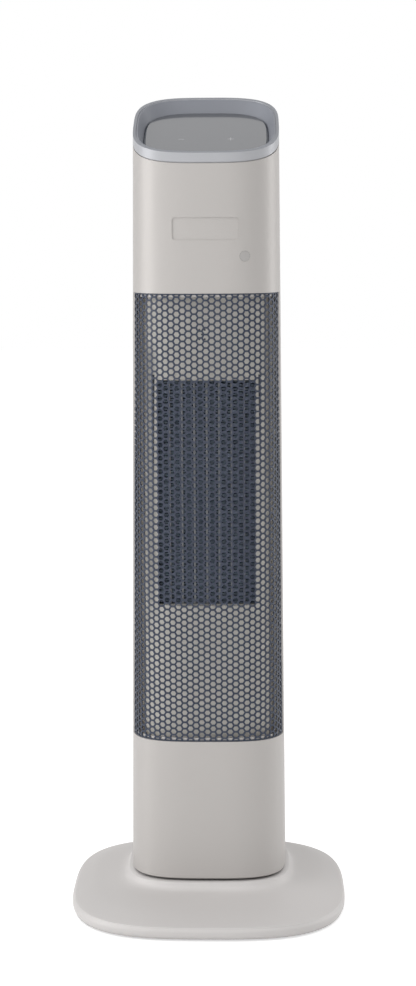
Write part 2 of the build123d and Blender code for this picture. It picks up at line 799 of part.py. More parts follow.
with BuildPart() as fan_motor:
    pin(fan_motor_radius, 0, fan_y, bracket_low - fan_motor_height, bracket_low)
    pin(fan_shaft_radius + running_gap, 0, fan_y, bracket_low - 11, bracket_low + 1, Mode.SUBTRACT)
    fillet(edges().filter_by(GeomType.CIRCLE).group_by(Axis.Z)[0], 3)
save("fan_motor", fan_motor)

with BuildPart() as bearing_bush:
    pin(bearing_radius, 0, fan_y, cover_top, cover_top + bearing_height)
    pin(fan_shaft_radius + fit, 0, fan_y, cover_top - 1, cover_top + bearing_height + 1,
        Mode.SUBTRACT)
save("bearing_bush", bearing_bush)

with BuildPart() as bearing_holder:
    pin(bearing_flange_radius, 0, fan_y, cover_top, cover_top + bearing_flange)
    pin(bearing_radius + fit / 2 + bearing_wall, 0, fan_y, cover_top, cover_top + bearing_height)
    pin(bearing_radius + fit / 2, 0, fan_y, cover_top - 1, cover_top + bearing_height + 1,
        Mode.SUBTRACT)
save("bearing_holder", bearing_holder)

# Intake filter against the blower's back edge
filter_low = scroll_low - filter_margin
filter_high = scroll_high + filter_margin
filter_tall = filter_high - filter_low
with BuildPart() as filter_frame:
    with BuildSketch(Plane.XZ.offset(-blower_back_y)):
        with Locations((0, (filter_low + filter_high) / 2)):
            Rectangle(2 * filter_half_width, filter_tall)
            Rectangle(2 * (filter_half_width - filter_bar), filter_tall - 2 * filter_bar,
                      mode=Mode.SUBTRACT)
            with GridLocations(1, filter_tall / 4, 1, 3):
                Rectangle(2 * filter_half_width, filter_bar / 2)
    extrude(amount=-filter_thickness)
save("filter_frame", filter_frame)

with BuildPart() as filter_screen:
    block((-filter_half_width + 1, blower_back_y + filter_thickness, filter_low + 1),
          (filter_half_width - 1, blower_back_y + filter_thickness + 0.6, filter_high - 1))
save("filter_screen", filter_screen)

# Rear shell with intake louvres, grip and screw wells
handle_back = tower_y + tower_half_depth_low + overshoot
handle_front = tower_y + half_depth_at(handle_height) - handle_depth
handle_half = handle_width / 2
with BuildPart() as handle_well:
    block((-handle_half - handle_wall, handle_front - handle_wall,
           handle_height - handle_opening / 2 - handle_wall),
          (handle_half + handle_wall, handle_back,
           handle_height + handle_opening / 2 + handle_wall))
    tower_loft(shell_wall - 1, handle_height - overshoot, handle_height + overshoot, Mode.INTERSECT)

with BuildPart() as rear_bosses:
    for height in screw_heights:
        bar(boss_radius, screw_x, height, split_y, handle_back)
    mirror(about=Plane.YZ)
    tower_loft(shell_wall - 1, tower_bottom, seam_height, Mode.INTERSECT)

with BuildPart() as rear_shell:
    shell_form()
    keep_back(split_y)
    add(handle_well.part)
    add(rear_bosses.part)
    block((-handle_half, handle_front, handle_height - handle_opening / 2),
          (handle_half, handle_back, handle_height + handle_opening / 2), Mode.SUBTRACT)
    for height in screw_heights:
        for side in (-1, 1):
            bar(screw_head_radius + fit, side * screw_x, height, split_y + boss_floor, handle_back,
                Mode.SUBTRACT)
            bar(screw_radius + fit, side * screw_x, height, split_y - 1, handle_back,
                Mode.SUBTRACT)
    block((-switch_width / 2, split_y + overshoot / 2, switch_height - switch_tall / 2),
          (switch_width / 2, handle_back, switch_height + switch_tall / 2), Mode.SUBTRACT)
    bar(gland_radius + fit, 0, gland_height, split_y + overshoot / 2, handle_back, Mode.SUBTRACT)
    with BuildSketch(Plane.XZ.offset(-tower_y - tower_half_depth_low - 5)):
        with Locations((0, louvre_low + (louvre_rows - 1) * louvre_pitch / 2)):
            with GridLocations(louvre_width + louvre_bridge, louvre_pitch, 2, louvre_rows):
                Rectangle(louvre_width, louvre_height)
    extrude(amount=overshoot / 2, mode=Mode.SUBTRACT)
save("rear_shell", rear_shell)

with BuildPart() as shell_screws:
    for height in screw_heights:
        bar(screw_radius, screw_x, height, split_y - screw_bite, split_y + boss_floor)
        bar(screw_head_radius, screw_x, height, split_y + boss_floor,
            split_y + boss_floor + screw_head_height)
    mirror(about=Plane.YZ)
save("shell_screws", shell_screws)

# Power switch and cord gland in the rear shell
switch_face = tower_y + half_depth_at(switch_height - switch_tall / 2 - switch_flange_margin)
switch_half = (switch_width / 2 - fit, switch_tall / 2 - fit)
rocker_y = switch_face + switch_flange - rocker_axis_depth
rocker_half_width = switch_half[0] - rocker_side_wall - running_gap
rocker_plane = Plane(origin=(-rocker_half_width, rocker_y, switch_height),
                     x_dir=(0, cos(radians(rocker_throw)), -sin(radians(rocker_throw))),
                     z_dir=(1, 0, 0))
trunnion_length = 2 * (rocker_half_width + running_gap + trunnion_reach)


def trunnion(radius, length, mode=Mode.ADD):
    """A round bar across the tower on the key's pivot."""
    with Locations((0, rocker_y, switch_height)):
        Cylinder(radius, length, rotation=(0, 90, 0), mode=mode)


with BuildPart() as power_switch_body:
    block((-switch_half[0], switch_face - switch_depth, switch_height - switch_half[1]),
          (switch_half[0], switch_face, switch_height + switch_half[1]))
    block((-switch_width / 2 - switch_flange_margin, switch_face,
           switch_height - switch_tall / 2 - switch_flange_margin),
          (switch_width / 2 + switch_flange_margin, switch_face + switch_flange,
           switch_height + switch_tall / 2 + switch_flange_margin))
    block((-switch_half[0] + rocker_side_wall, switch_face - switch_depth / 2,
           switch_height - switch_half[1] + 1),
          (switch_half[0] - rocker_side_wall, switch_face + switch_flange + 1,
           switch_height + switch_half[1] - 1), Mode.SUBTRACT)
    trunnion(trunnion_radius + fit, trunnion_length + 2 * fit, Mode.SUBTRACT)
save("power_switch_body", power_switch_body)

with BuildPart() as power_switch_rocker:
    with BuildSketch(rocker_plane):
        with BuildLine():
            Polyline((rocker_crest, -rocker_half_tall), (rocker_crest - rocker_dip, 0),
                     (rocker_crest, rocker_half_tall), (-rocker_root, rocker_half_tall),
                     (-rocker_root, -rocker_half_tall), close=True)
        make_face()
    extrude(amount=2 * rocker_half_width)
    trunnion(trunnion_radius, trunnion_length)
save("power_switch_rocker", power_switch_rocker)

gland_face = tower_y + half_depth_at(gland_height - gland_flange_radius)
gland_inner = tower_y + half_depth_at(gland_height + gland_flange_radius) - shell_wall
with BuildPart() as cord_gland:
    bar(gland_flange_radius, 0, gland_height, gland_face, gland_face + gland_flange)
    bar(gland_radius, 0, gland_height, gland_inner - gland_nut - 2, gland_face)
    bar(gland_bore, 0, gland_height, gland_inner - overshoot, gland_face + overshoot, Mode.SUBTRACT)
save("cord_gland", cord_gland)

with BuildPart() as gland_nut_ring:
    bar(gland_flange_radius, 0, gland_height, gland_inner - gland_nut, gland_inner)
    bar(gland_radius + fit / 2, 0, gland_height, gland_inner - overshoot, gland_face,
        Mode.SUBTRACT)
save("gland_nut", gland_nut_ring)

# Slanted top
tilt = radians(rim_slant)


def top_section(inset, depth):
    """The tower's plan where a plane parallel to the rim cuts it, drawn in by inset."""
    middle = -depth * tan(tilt)
    with BuildSketch(rim_plane.offset(-depth)) as plan:
        with BuildLine():
            squircle(half_width_at(rim_plane.origin.Z) - inset,
                     half_depth_at(rim_plane.origin.Z) / cos(tilt) - inset,
                     tower_exponent, middle)
        make_face()
    return plan.sketch


def top_loft(upper_inset, upper_depth, lower_inset, lower_depth, mode=Mode.ADD):
    """A block between two planes parallel to the rim."""
    loft([top_section(upper_inset, upper_depth), top_section(lower_inset, lower_depth)],
         ruled=True, mode=mode)


def seam_band(outer, inner, low, high):
    """A tapered tube between two planes parallel to the seam, measured from it."""
    tower_skin(outer, inner, seam_height - overshoot, skin_top)
    split(bisect_by=seam_plane.offset(low), keep=Keep.TOP)
    split(bisect_by=seam_plane.offset(high), keep=Keep.BOTTOM)


dish_bottom = dish_floor_depth + dish_floor
with BuildPart() as ring_ledge_block:
    top_loft(ring_ledge_outer, dish_bottom, ring_ledge_outer, dish_bottom + ring_ledge)
    top_loft(ring_ledge_inner, dish_floor_depth, ring_ledge_inner,
             dish_bottom + 2 * ring_ledge, Mode.SUBTRACT)

with BuildPart() as skirt_relief:
    seam_band(-overshoot, ring_flange_width - skirt_wall, -skirt_drop - 1, -seam_gap / 2)

with BuildPart() as ring_neck:
    seam_band(seam_groove, ring_flange_width, -skirt_drop, seam_gap / 2 + ring_flange)
    add(skirt_relief.part, mode=Mode.SUBTRACT)

with BuildPart() as top_ring:
    tower_skin(0, ring_wall, seam_height - overshoot, skin_top)
    split(bisect_by=seam_plane.offset(seam_gap / 2), keep=Keep.TOP)
    split(bisect_by=rim_plane, keep=Keep.BOTTOM)
    add(ring_neck.part)
    add(ring_ledge_block.part)
save("top_ring", top_ring)

stand_x = board_width / 2 - board_edge
stand_y = board_depth / 2 - board_edge
board_shift = -(dish_bottom + board_standoff) * tan(tilt)
board_top = dish_bottom + board_standoff
with BuildPart() as control_dish:
    top_loft(ring_wall + fit, dish_lip_depth, dish_under_inset, dish_bottom)
    top_loft(ring_wall + fit + dish_lip, 0, dish_floor_inset, dish_floor_depth, Mode.SUBTRACT)
    with BuildSketch(rim_plane.offset(-dish_bottom)):
        with Locations((0, board_shift)):
            with GridLocations(2 * stand_x, 2 * stand_y, 2, 2):
                Circle(standoff_radius)
    extrude(amount=-board_standoff)
    with BuildSketch(rim_plane.offset(-dish_floor_depth - 1)):
        with Locations((0, board_shift)):
            with GridLocations(2 * stand_x, 2 * stand_y, 2, 2):
                Circle(board_screw_radius)
    extrude(amount=-overshoot, mode=Mode.SUBTRACT)
save("control_dish", control_dish)

with BuildPart() as control_panel:
    top_loft(panel_inset, dish_floor_depth - panel_thickness, panel_inset, dish_floor_depth)
save("control_panel", control_panel)

with BuildPart() as control_board:
    with BuildSketch(rim_plane.offset(-board_top)):
        with Locations((0, board_shift)):
            Rectangle(board_width, board_depth)
            with GridLocations(2 * stand_x, 2 * stand_y, 2, 2):
                Circle(board_screw_radius + fit, mode=Mode.SUBTRACT)
    extrude(amount=-board_thickness)
save("control_board", control_board)

with BuildPart() as board_screws:
    with BuildSketch(rim_plane.offset(-board_top - board_thickness)):
        with Locations((0, board_shift)):
            with GridLocations(2 * stand_x, 2 * stand_y, 2, 2):
                Circle(2 * board_screw_radius)
    extrude(amount=-board_screw_radius)
    with BuildSketch(rim_plane.offset(-board_top - board_thickness)):
        with Locations((0, board_shift)):
            with GridLocations(2 * stand_x, 2 * stand_y, 2, 2):
                Circle(board_screw_radius - fit / 2)
    extrude(amount=board_thickness + board_standoff)
save("board_screws", board_screws)

with BuildPart() as buzzer:
    with BuildSketch(rim_plane.offset(-board_top - board_thickness)):
        with Locations((board_width / 4, board_shift)):
            Circle(buzzer_radius)
    extrude(amount=-buzzer_height)
save("buzzer", buzzer)

# Power board standing on the tower floor
with BuildPart() as power_board:
    block((-power_board_width / 2, power_board_y, floor_top),
          (power_board_width / 2, power_board_y + board_thickness, floor_top + power_board_tall))
save("power_board", power_board)

with BuildPart() as relays:
    for x in relay_x:
        block((x - relay_size[0] / 2, power_board_y - relay_size[1], relay_low),
              (x + relay_size[0] / 2, power_board_y, relay_low + relay_size[2]))
save("relays", relays)

with BuildPart() as capacitor:
    pin(capacitor_radius, capacitor_x, power_board_y - capacitor_radius, relay_low,
        relay_low + capacitor_length)
save("capacitor", capacitor)
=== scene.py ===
# %% [markdown]
# # A ceramic tower heater
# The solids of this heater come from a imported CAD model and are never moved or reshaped. What is
# made here is how it looks: the paint, the fine hex sheet, the fins behind it, the touch panel and
# the smooth dome of the base. Everything is in metres, +Z is up and the front faces -Y.

from math import cos, pi, radians, sin, sqrt

import bmesh
import bpy
from mathutils import Matrix, Vector


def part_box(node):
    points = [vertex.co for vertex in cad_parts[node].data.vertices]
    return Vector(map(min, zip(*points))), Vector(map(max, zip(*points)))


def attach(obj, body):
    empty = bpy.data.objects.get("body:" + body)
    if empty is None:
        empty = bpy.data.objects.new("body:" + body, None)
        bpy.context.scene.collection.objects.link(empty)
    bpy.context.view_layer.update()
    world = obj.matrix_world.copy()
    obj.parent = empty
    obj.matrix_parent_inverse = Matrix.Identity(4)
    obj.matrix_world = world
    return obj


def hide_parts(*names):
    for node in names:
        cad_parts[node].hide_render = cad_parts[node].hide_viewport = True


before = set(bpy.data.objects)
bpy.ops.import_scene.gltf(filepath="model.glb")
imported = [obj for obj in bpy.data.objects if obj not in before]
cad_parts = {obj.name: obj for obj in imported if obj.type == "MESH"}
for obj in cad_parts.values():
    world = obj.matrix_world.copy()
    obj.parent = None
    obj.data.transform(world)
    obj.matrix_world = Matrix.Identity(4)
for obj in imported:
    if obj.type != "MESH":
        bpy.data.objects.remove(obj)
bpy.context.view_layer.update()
print("nodes:", len(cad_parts))

# %% [markdown]
# ## Sizes that the modelled pieces share
# The pieces made here sit on the tower's skin, so they need its form. In plan it is a squared oval,
# |x/a|^n + |y/b|^n = 1, which tapers evenly from the foot to the seam under the top ring. The real
# sizes are written in millimetres and turned into metres once.

# %% The tower's form
MM = 0.001
TOWER_Y = 18.0 * MM
TOWER_FOOT = 28.0 * MM
SEAM_HEIGHT = 650.3 * MM
HALF_WIDTH = (69.1 * MM, 62.5 * MM)
HALF_DEPTH = (56.5 * MM, 52.0 * MM)
TOWER_EXPONENT = 3.4


def mix(low, high, share):
    """Value a share of the way from low to high."""
    return low + share * (high - low)


def tower_half_sizes(height):
    """Half width and half depth of the tower at a height."""
    share = (height - TOWER_FOOT) / (SEAM_HEIGHT - TOWER_FOOT)
    return mix(*HALF_WIDTH, share), mix(*HALF_DEPTH, share)


def squircle_point(half_width, half_depth, exponent, angle):
    """Point of a squared oval at an angle seen from its middle."""
    reach = abs(cos(angle) / half_width) ** exponent + abs(sin(angle) / half_depth) ** exponent
    radius = reach ** (-1 / exponent)
    return radius * cos(angle), radius * sin(angle)


# %% [markdown]
# ## Shader maths as expressions
# A procedural material is a small formula: a mask times a colour, a noise added to a roughness.
# Written with node calls it is hard to read, so one class wraps an output socket and gives it
# Python's operators. An expression such as `1 - mask * 0.5` then adds its Math nodes by itself.


# %% The socket class
class Value:
    """An output socket in a material's node tree, with arithmetic."""

    def __init__(self, tree, socket):
        self.tree = tree
        self.socket = socket

    def node(self, kind, settings=None, **inputs):
        """Adds a node, sets it up, links or fills its sockets and returns its first output."""
        return add_node(self.tree, kind, settings, **inputs)

    def maths(self, operation, *others, swap=False):
        """Adds a Math node that takes this value and others, the other way round when swapped."""
        values = [self, *others]
        if swap:
            values.reverse()
        numbered = {f"_{index}": value for index, value in enumerate(values)}
        return self.node("ShaderNodeMath", {"operation": operation}, **numbered)

    def __add__(self, other):
        return self.maths("ADD", other)

    def __radd__(self, other):
        return self.maths("ADD", other)

    def __sub__(self, other):
        return self.maths("SUBTRACT", other)

    def __rsub__(self, other):
        return self.maths("SUBTRACT", other, swap=True)

    def __mul__(self, other):
        return self.maths("MULTIPLY", other)

    def __rmul__(self, other):
        return self.maths("MULTIPLY", other)

    def __truediv__(self, other):
        return self.maths("DIVIDE", other)

    def __abs__(self):
        return self.maths("ABSOLUTE")

    def power(self, other):
        return self.maths("POWER", other)

    def below(self, edge, blur):
        """1 under an edge and 0 over it, with a soft step."""
        return self.ramp(edge - blur, edge + blur, 1.0, 0.0)

    def ramp(self, low, high, from_value, to_value):
        """Straight-line change between two values, clamped at both ends."""
        names = {"_0": self, "_1": low, "_2": high, "_3": from_value, "_4": to_value}
        return self.node("ShaderNodeMapRange", {"clamp": True}, **names)


def add_node(tree, kind, settings=None, **inputs):
    """Adds any node. A socket is named, or numbered with an underscore in front."""
    node = tree.nodes.new(kind)
    for name, value in (settings or {}).items():
        setattr(node, name, value)
    for name, value in inputs.items():
        key = int(name[1:]) if name.startswith("_") else name.replace("_", " ")
        socket = node.inputs[key]
        if isinstance(value, Value):
            tree.links.new(value.socket, socket)
        else:
            socket.default_value = value
    return Value(tree, node.outputs[0])


# %% [markdown]
# ## One start for every finish
# All finishes here share a Principled shader, a position that doesn't depend on any UV map and a
# way to set what is the same all over. Constants go straight on the shader's sockets, because they
# survive an export that way. Only colour, roughness and the normal vary over a surface.


# %% A finish to build on
MIXED_COLOUR = 2


class Finish:
    """A material with a Principled shader and shorthand for what varies over it."""

    def __init__(self, name, colour, roughness, metallic=0.0, **constants):
        self.material = bpy.data.materials.new(name)
        self.material.use_nodes = True
        self.tree = self.material.node_tree
        self.shader = self.tree.nodes["Principled BSDF"]
        self.colour = (*colour, 1.0)
        self.shader.inputs["Base Color"].default_value = self.colour
        self.shader.inputs["Roughness"].default_value = roughness
        self.shader.inputs["Metallic"].default_value = metallic
        for key, value in constants.items():
            self.shader.inputs[key.replace("_", " ")].default_value = value
        self.material.diffuse_color = self.colour

    def position(self):
        """Object position in metres."""
        coordinates = self.tree.nodes.new("ShaderNodeTexCoord")
        return Value(self.tree, coordinates.outputs["Object"])

    def axes(self):
        """The position's three numbers."""
        split = self.tree.nodes.new("ShaderNodeSeparateXYZ")
        self.tree.links.new(self.position().socket, split.inputs[0])
        return [Value(self.tree, output) for output in split.outputs]

    def noise(self, per_metre, detail=2.0, roughness=0.5):
        """Smooth noise from 0 to 1 with so many cells to a metre."""
        return add_node(self.tree, "ShaderNodeTexNoise", None, Vector=self.position(),
                        Scale=per_metre, Detail=detail, Roughness=roughness)

    def vary_colour(self, share, other):
        """Mixes the base colour with another one by a share. A later call takes its place."""
        mixed = add_node(self.tree, "ShaderNodeMix", {"data_type": "RGBA"}, _0=share,
                         _6=self.colour, _7=(*other, 1.0))
        outputs = mixed.socket.node.outputs
        self.tree.links.new(outputs[MIXED_COLOUR], self.shader.inputs["Base Color"])
        return self

    def vary_roughness(self, value):
        """Links a value to the roughness."""
        self.tree.links.new(value.socket, self.shader.inputs["Roughness"])
        return self

    def bump(self, height, depth, strength=1.0):
        """Feeds a height through a Bump node, depth in metres."""
        bumped = add_node(self.tree, "ShaderNodeBump", None, Strength=strength, Distance=depth,
                          Height=height)
        self.tree.links.new(bumped.socket, self.shader.inputs["Normal"])
        return self


# %% [markdown]
# ## Silver-grey paint
# The shells and the base are moulded plastic with a fine metallic lacquer. From a step away it is
# an even warm grey with a soft sheen. Up close the lacquer has a very fine orange peel, and tiny
# flakes make its roughness uneven. Noise at two scales gives both, without any picture.


# %% Paint and plastics
FLAKES_PER_METRE = 5200
CLOUDS_PER_METRE = 14
PEEL_PER_METRE = 900
PEEL_DEPTH = 0.04 * MM
STREAKS_PER_METRE = 2400
STREAK_STRETCH = 0.02


def lacquer(name, colour, roughness=0.5, metallic=0.3):
    """Paint with fine flakes, a soft coat and a trace of orange peel."""
    finish = Finish(name, colour, roughness, metallic, Coat_Weight=0.12, Coat_Roughness=0.4)
    flakes = finish.noise(FLAKES_PER_METRE, detail=1.0)
    cloud = finish.noise(CLOUDS_PER_METRE, detail=3.0)
    finish.vary_colour(flakes.ramp(0.35, 0.75, 0.0, 0.35) + cloud * 0.08,
                       [min(1.0, channel * 1.16) for channel in colour])
    finish.vary_roughness(flakes * 0.10 + cloud * 0.05 + (roughness - 0.07))
    return finish.bump(finish.noise(PEEL_PER_METRE, detail=2.0), PEEL_DEPTH, 0.35)


def moulded(name, colour, roughness, grain=1600, depth=0.05 * MM):
    """Spark-eroded mould texture: a fine even grain on a plain plastic."""
    finish = Finish(name, colour, roughness)
    grain_noise = finish.noise(grain, detail=2.0)
    finish.vary_colour(finish.noise(25, detail=3.0).ramp(0.3, 0.7, 0.0, 0.5),
                       [channel * 0.86 for channel in colour])
    finish.vary_roughness(grain_noise * 0.12 + (roughness - 0.06))
    return finish.bump(grain_noise, depth, 0.5)


def metal(name, colour, roughness):
    """Bare metal, lightly streaked along Z as drawn or rolled stock is."""
    finish = Finish(name, colour, roughness, metallic=1.0)
    stretched = add_node(finish.tree, "ShaderNodeMapping", None, Vector=finish.position(),
                         Scale=(1.0, 1.0, STREAK_STRETCH))
    streaks = add_node(finish.tree, "ShaderNodeTexNoise", None, Vector=stretched,
                       Scale=STREAKS_PER_METRE, Detail=2.0)
    finish.vary_colour(streaks.ramp(0.35, 0.7, 0.0, 0.6), [channel * 0.8 for channel in colour])
    finish.vary_roughness(streaks * 0.18 + (roughness - 0.09))
    return finish


shell_paint = lacquer("silver_grey_lacquer", (0.435, 0.415, 0.400))
ring_paint = lacquer("ring_lacquer", (0.39, 0.395, 0.415), roughness=0.45)
base_paint = lacquer("base_lacquer", (0.56, 0.54, 0.53), roughness=0.58, metallic=0.15)
dish_plastic = moulded("dish_grey_plastic", (0.215, 0.225, 0.255), roughness=0.45)
duct_plastic = moulded("warm_beige_duct", (0.80, 0.765, 0.71), roughness=0.60)
dark_plastic = moulded("dark_inner_plastic", (0.035, 0.038, 0.045), roughness=0.6)
black_plastic = moulded("black_plastic", (0.018, 0.018, 0.02), roughness=0.45)
pale_plastic = moulded("natural_plastic", (0.62, 0.61, 0.58), roughness=0.45)
rubber = moulded("foot_rubber", (0.022, 0.022, 0.023), roughness=0.85, grain=2600)
board_green = moulded("board_green", (0.02, 0.14, 0.07), roughness=0.4)
steel = metal("plated_steel", (0.56, 0.56, 0.57), roughness=0.32)
cast = moulded("cast_iron", (0.10, 0.10, 0.105), roughness=0.75, grain=900, depth=0.2 * MM)
motor_metal = metal("motor_steel", (0.45, 0.45, 0.47), roughness=0.42)
fin_metal = metal("fin_aluminium", (0.44, 0.51, 0.62), roughness=0.55)
ceramic = moulded("heater_ceramic", (0.30, 0.31, 0.33), roughness=0.6)
print("finishes:", len(bpy.data.materials))

# %% [markdown]
# ## Sensing holes and a painted shadow in the duct
# High in the middle of the duct, seven pin holes let air reach a sensor behind it. They are drawn
# as a mask: near each hole's middle the distance is small, and there the plastic is painted dark,
# as painted shade inside the hole. A soft darker band beside the heating block is a painted shadow.

# %% Duct marks
SENSE_X, SENSE_Z = -3.4 * MM, 507.0 * MM
SENSE_RING = 4.6 * MM
SENSE_RADIUS = 0.85 * MM
SHADOW_BAND_LEFT, SHADOW_BAND_RIGHT = (-54.0 * MM, -50.0 * MM), (-47.0 * MM, -40.0 * MM)
SHADOW_BAND_LOW, SHADOW_BAND_HIGH = (240.0 * MM, 300.0 * MM), (485.0 * MM, 505.0 * MM)
SHADOW_BAND_SHARE = 0.45
HOLE_SHADE_COLOUR = (0.035, 0.038, 0.045)
x, y, z = duct_plastic.axes()
# Each pin hole is painted dark, as painted shade inside it.
painted_hole_shade = None
for turn in range(7):
    reach = SENSE_RING if turn else 0.0
    from_x = x - (SENSE_X + reach * cos(pi / 3 * turn))
    from_z = z - (SENSE_Z + reach * sin(pi / 3 * turn))
    distance = (from_x * from_x + from_z * from_z).power(0.5)
    one_hole_shade = distance.below(SENSE_RADIUS, 0.15 * MM)
    painted_hole_shade = one_hole_shade if painted_hole_shade is None else painted_hole_shade + one_hole_shade
# The band beside the heating block is a painted shadow, mixed toward the same dark colour.
painted_shadow_band = x.ramp(*SHADOW_BAND_LEFT, 0.0, 1.0) * x.ramp(*SHADOW_BAND_RIGHT, 1.0, 0.0)
painted_shadow_band = painted_shadow_band * z.ramp(*SHADOW_BAND_LOW, 0.0, 1.0) * z.ramp(*SHADOW_BAND_HIGH, 1.0, 0.0)
duct_plastic.vary_colour((painted_hole_shade + painted_shadow_band * SHADOW_BAND_SHARE).ramp(0.0, 1.0, 0.0, 1.0), HOLE_SHADE_COLOUR)
print("pin holes:", turn + 1)

# %% [markdown]
# ## Painted shade on the slanted top
# The ring's cut edge below its rim gets a painted shade, grey like the dish, and the floor of the
# dish gets a painted shade where it shows as a gap round the panel. Both follow from one number: how
# far a point lies below the rim's plane.

# %% Painted shade on the rim edge and in the gap
RIM_FRONT = 658.6 * MM
RIM_TILT = radians(25.7)


def below_rim(finish):
    """Distance below the slanted plane of the rim."""
    x, y, z = finish.axes()
    front_y = TOWER_Y - tower_half_sizes(RIM_FRONT)[1]
    return (y - front_y) * sin(RIM_TILT) - (z - RIM_FRONT) * cos(RIM_TILT)


# Below the rim the ring is painted darker, as painted shade on its inner walls.
painted_edge_shade = below_rim(ring_paint).ramp(0.05 * MM, 0.35 * MM, 0.85, 0.0)
ring_paint.vary_colour(painted_edge_shade, (0.20, 0.21, 0.235))
# The dish floor in the gap round the panel is painted dark, as painted shade.
painted_gap_shade = below_rim(dish_plastic).ramp(9.0 * MM, 10.4 * MM, 0.0, 0.85)
dish_plastic.vary_colour(painted_gap_shade, (0.05, 0.06, 0.08))

# %% [markdown]
# ## Which node gets which finish
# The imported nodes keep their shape, and each only gets its finish here. A small table reads better
# than fifty lines, and a node that is missing from it would show as a plain grey, so it is checked.

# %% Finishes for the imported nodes
FINISHES = {
    shell_paint: "front_shell rear_shell",
    ring_paint: "top_ring",
    base_paint: "base_cover",
    dish_plastic: "control_dish",
    duct_plastic: "air_duct",
    dark_plastic: "heater_frame blower_housing blower_cover impeller filter_frame filter_screen "
                  "base_plate crank_track slide_ring retaining_ring tower_floor bearing_bush",
    black_plastic: "tip_switch_body power_switch_body power_switch_rocker cord_gland gland_nut "
                   "buzzer relays capacitor sensor_receiver",
    pale_plastic: "pivot_post drive_crank tip_switch_plunger",
    rubber: "rubber_feet",
    board_green: "control_board power_board",
    steel: "base_screws shell_screws board_screws fan_shaft bearing_holder motor_bracket "
           "thermal_cutout thermostat heater_terminals",
    cast: "base_weight",
    motor_metal: "drive_motor fan_motor",
    ceramic: "ceramic_strips",
    fin_metal: "heater_fins",
}


def dress(node, finish):
    """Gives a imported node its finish."""
    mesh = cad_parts[node].data
    mesh.materials.clear()
    mesh.materials.append(finish.material)


dressed = set()
for finish, names in FINISHES.items():
    for node in names.split():
        dress(node, finish)
        dressed.add(node)
print("still to dress:", sorted(set(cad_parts) - dressed))

# %% [markdown]
# ## Modelled pieces
# A new mesh is made from plain lists of points and faces. Each piece then says which body carries
# it, so that it moves with the heater, and the imported node it stands for is hidden, so that
# nothing shows twice.


# %% Making a piece
def piece(name, points, faces, finish, body, slot, smooth=True):
    """Makes a mesh object from points and faces, and lets it ride on a body."""
    mesh = bpy.data.meshes.new(name)
    mesh.from_pydata(points, [], faces)
    mesh.validate()
    mesh.materials.append(finish.material)
    made = bpy.data.objects.new(name, mesh)
    bpy.context.collection.objects.link(made)
    if smooth:
        mesh.polygons.foreach_set("use_smooth", [True] * len(mesh.polygons))
    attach(made, body)
    print(name, len(points), "points", len(faces), "faces")
    return made


def ring_faces(rings, points):
    """Quads between rings of points, one ring after the other."""
    faces = []
    for ring in range(rings - 1):
        here, there = ring * points, (ring + 1) * points
        for point in range(points):
            beside = (point + 1) % points
            faces.append((here + point, here + beside, there + beside, there + point))
    return faces


# %% [markdown]
# ## The hex sheet
# The front is a steel sheet with about two thousand small hexagonal holes, bent round the tower's
# corners. It could be a texture with alpha, but the holes have to show the duct and the fins
# behind, cast their own shadows and still be holes from the side. So they are real: a honeycomb is
# laid out flat, clipped to the sheet's size, then wrapped round the skin by walking along it.

# %% The sheet's layout
GRILLE_LOW = 153.0 * MM
GRILLE_HIGH = 542.0 * MM
GRILLE_BACK_Y = -6.2 * MM
SHEET_INSET = 0.9 * MM
SHEET_THICKNESS = 0.8 * MM
SHEET_FIT = 0.2 * MM
CELL_RADIUS = 3.3 * MM
HOLE_RADIUS = 2.42 * MM
SHEET_BORDER = 0.9 * MM
WELD = 0.02 * MM
BORDER_STEPS = 90
WALK_STEPS = 900


def skin_walk(height, inset):
    """Distance, x and y along the tower's skin from its middle front to its side."""
    half_width, half_depth = tower_half_sizes(height)
    walk = [(0.0, 0.0, TOWER_Y - half_depth + inset)]
    for step in range(1, WALK_STEPS):
        angle = -pi / 2 + pi / 2 * step / WALK_STEPS
        x, y = squircle_point(half_width - inset, half_depth - inset, TOWER_EXPONENT, angle)
        y += TOWER_Y
        before = walk[-1]
        walk.append((before[0] + sqrt((x - before[1]) ** 2 + (y - before[2]) ** 2), x, y))
    return walk


def read_walk(walk, distance):
    """Point at a distance along a walk, found by halving."""
    low, high = 0, len(walk) - 1
    while high - low > 1:
        middle = (low + high) // 2
        if walk[middle][0] <= distance:
            low = middle
        else:
            high = middle
    share = (distance - walk[low][0]) / (walk[high][0] - walk[low][0])
    return mix(walk[low][1], walk[high][1], share), mix(walk[low][2], walk[high][2], share)


low_walk = skin_walk(GRILLE_LOW, SHEET_INSET)
high_walk = skin_walk(GRILLE_HIGH, SHEET_INSET)


def wrapped(distance, height, inset=0.0):
    """Place on the bent sheet of a point on the flat one."""
    share = (height - GRILLE_LOW) / (GRILLE_HIGH - GRILLE_LOW)
    side = -1 if distance < 0 else 1
    x_low, y_low = read_walk(low_walk, abs(distance))
    x_high, y_high = read_walk(high_walk, abs(distance))
    ahead_x, ahead_y = read_walk(low_walk, abs(distance) + MM)
    run_x, run_y = ahead_x - x_low, ahead_y - y_low
    length = sqrt(run_x ** 2 + run_y ** 2)
    x = mix(x_low, x_high, share) - inset * run_y / length
    y = mix(y_low, y_high, share) + inset * run_x / length
    return side * x, y, height


edge = next(step for step in low_walk if step[2] > GRILLE_BACK_Y)
sheet_half = edge[0]
print("flat sheet:", round(2 * sheet_half / MM, 1), "mm wide")


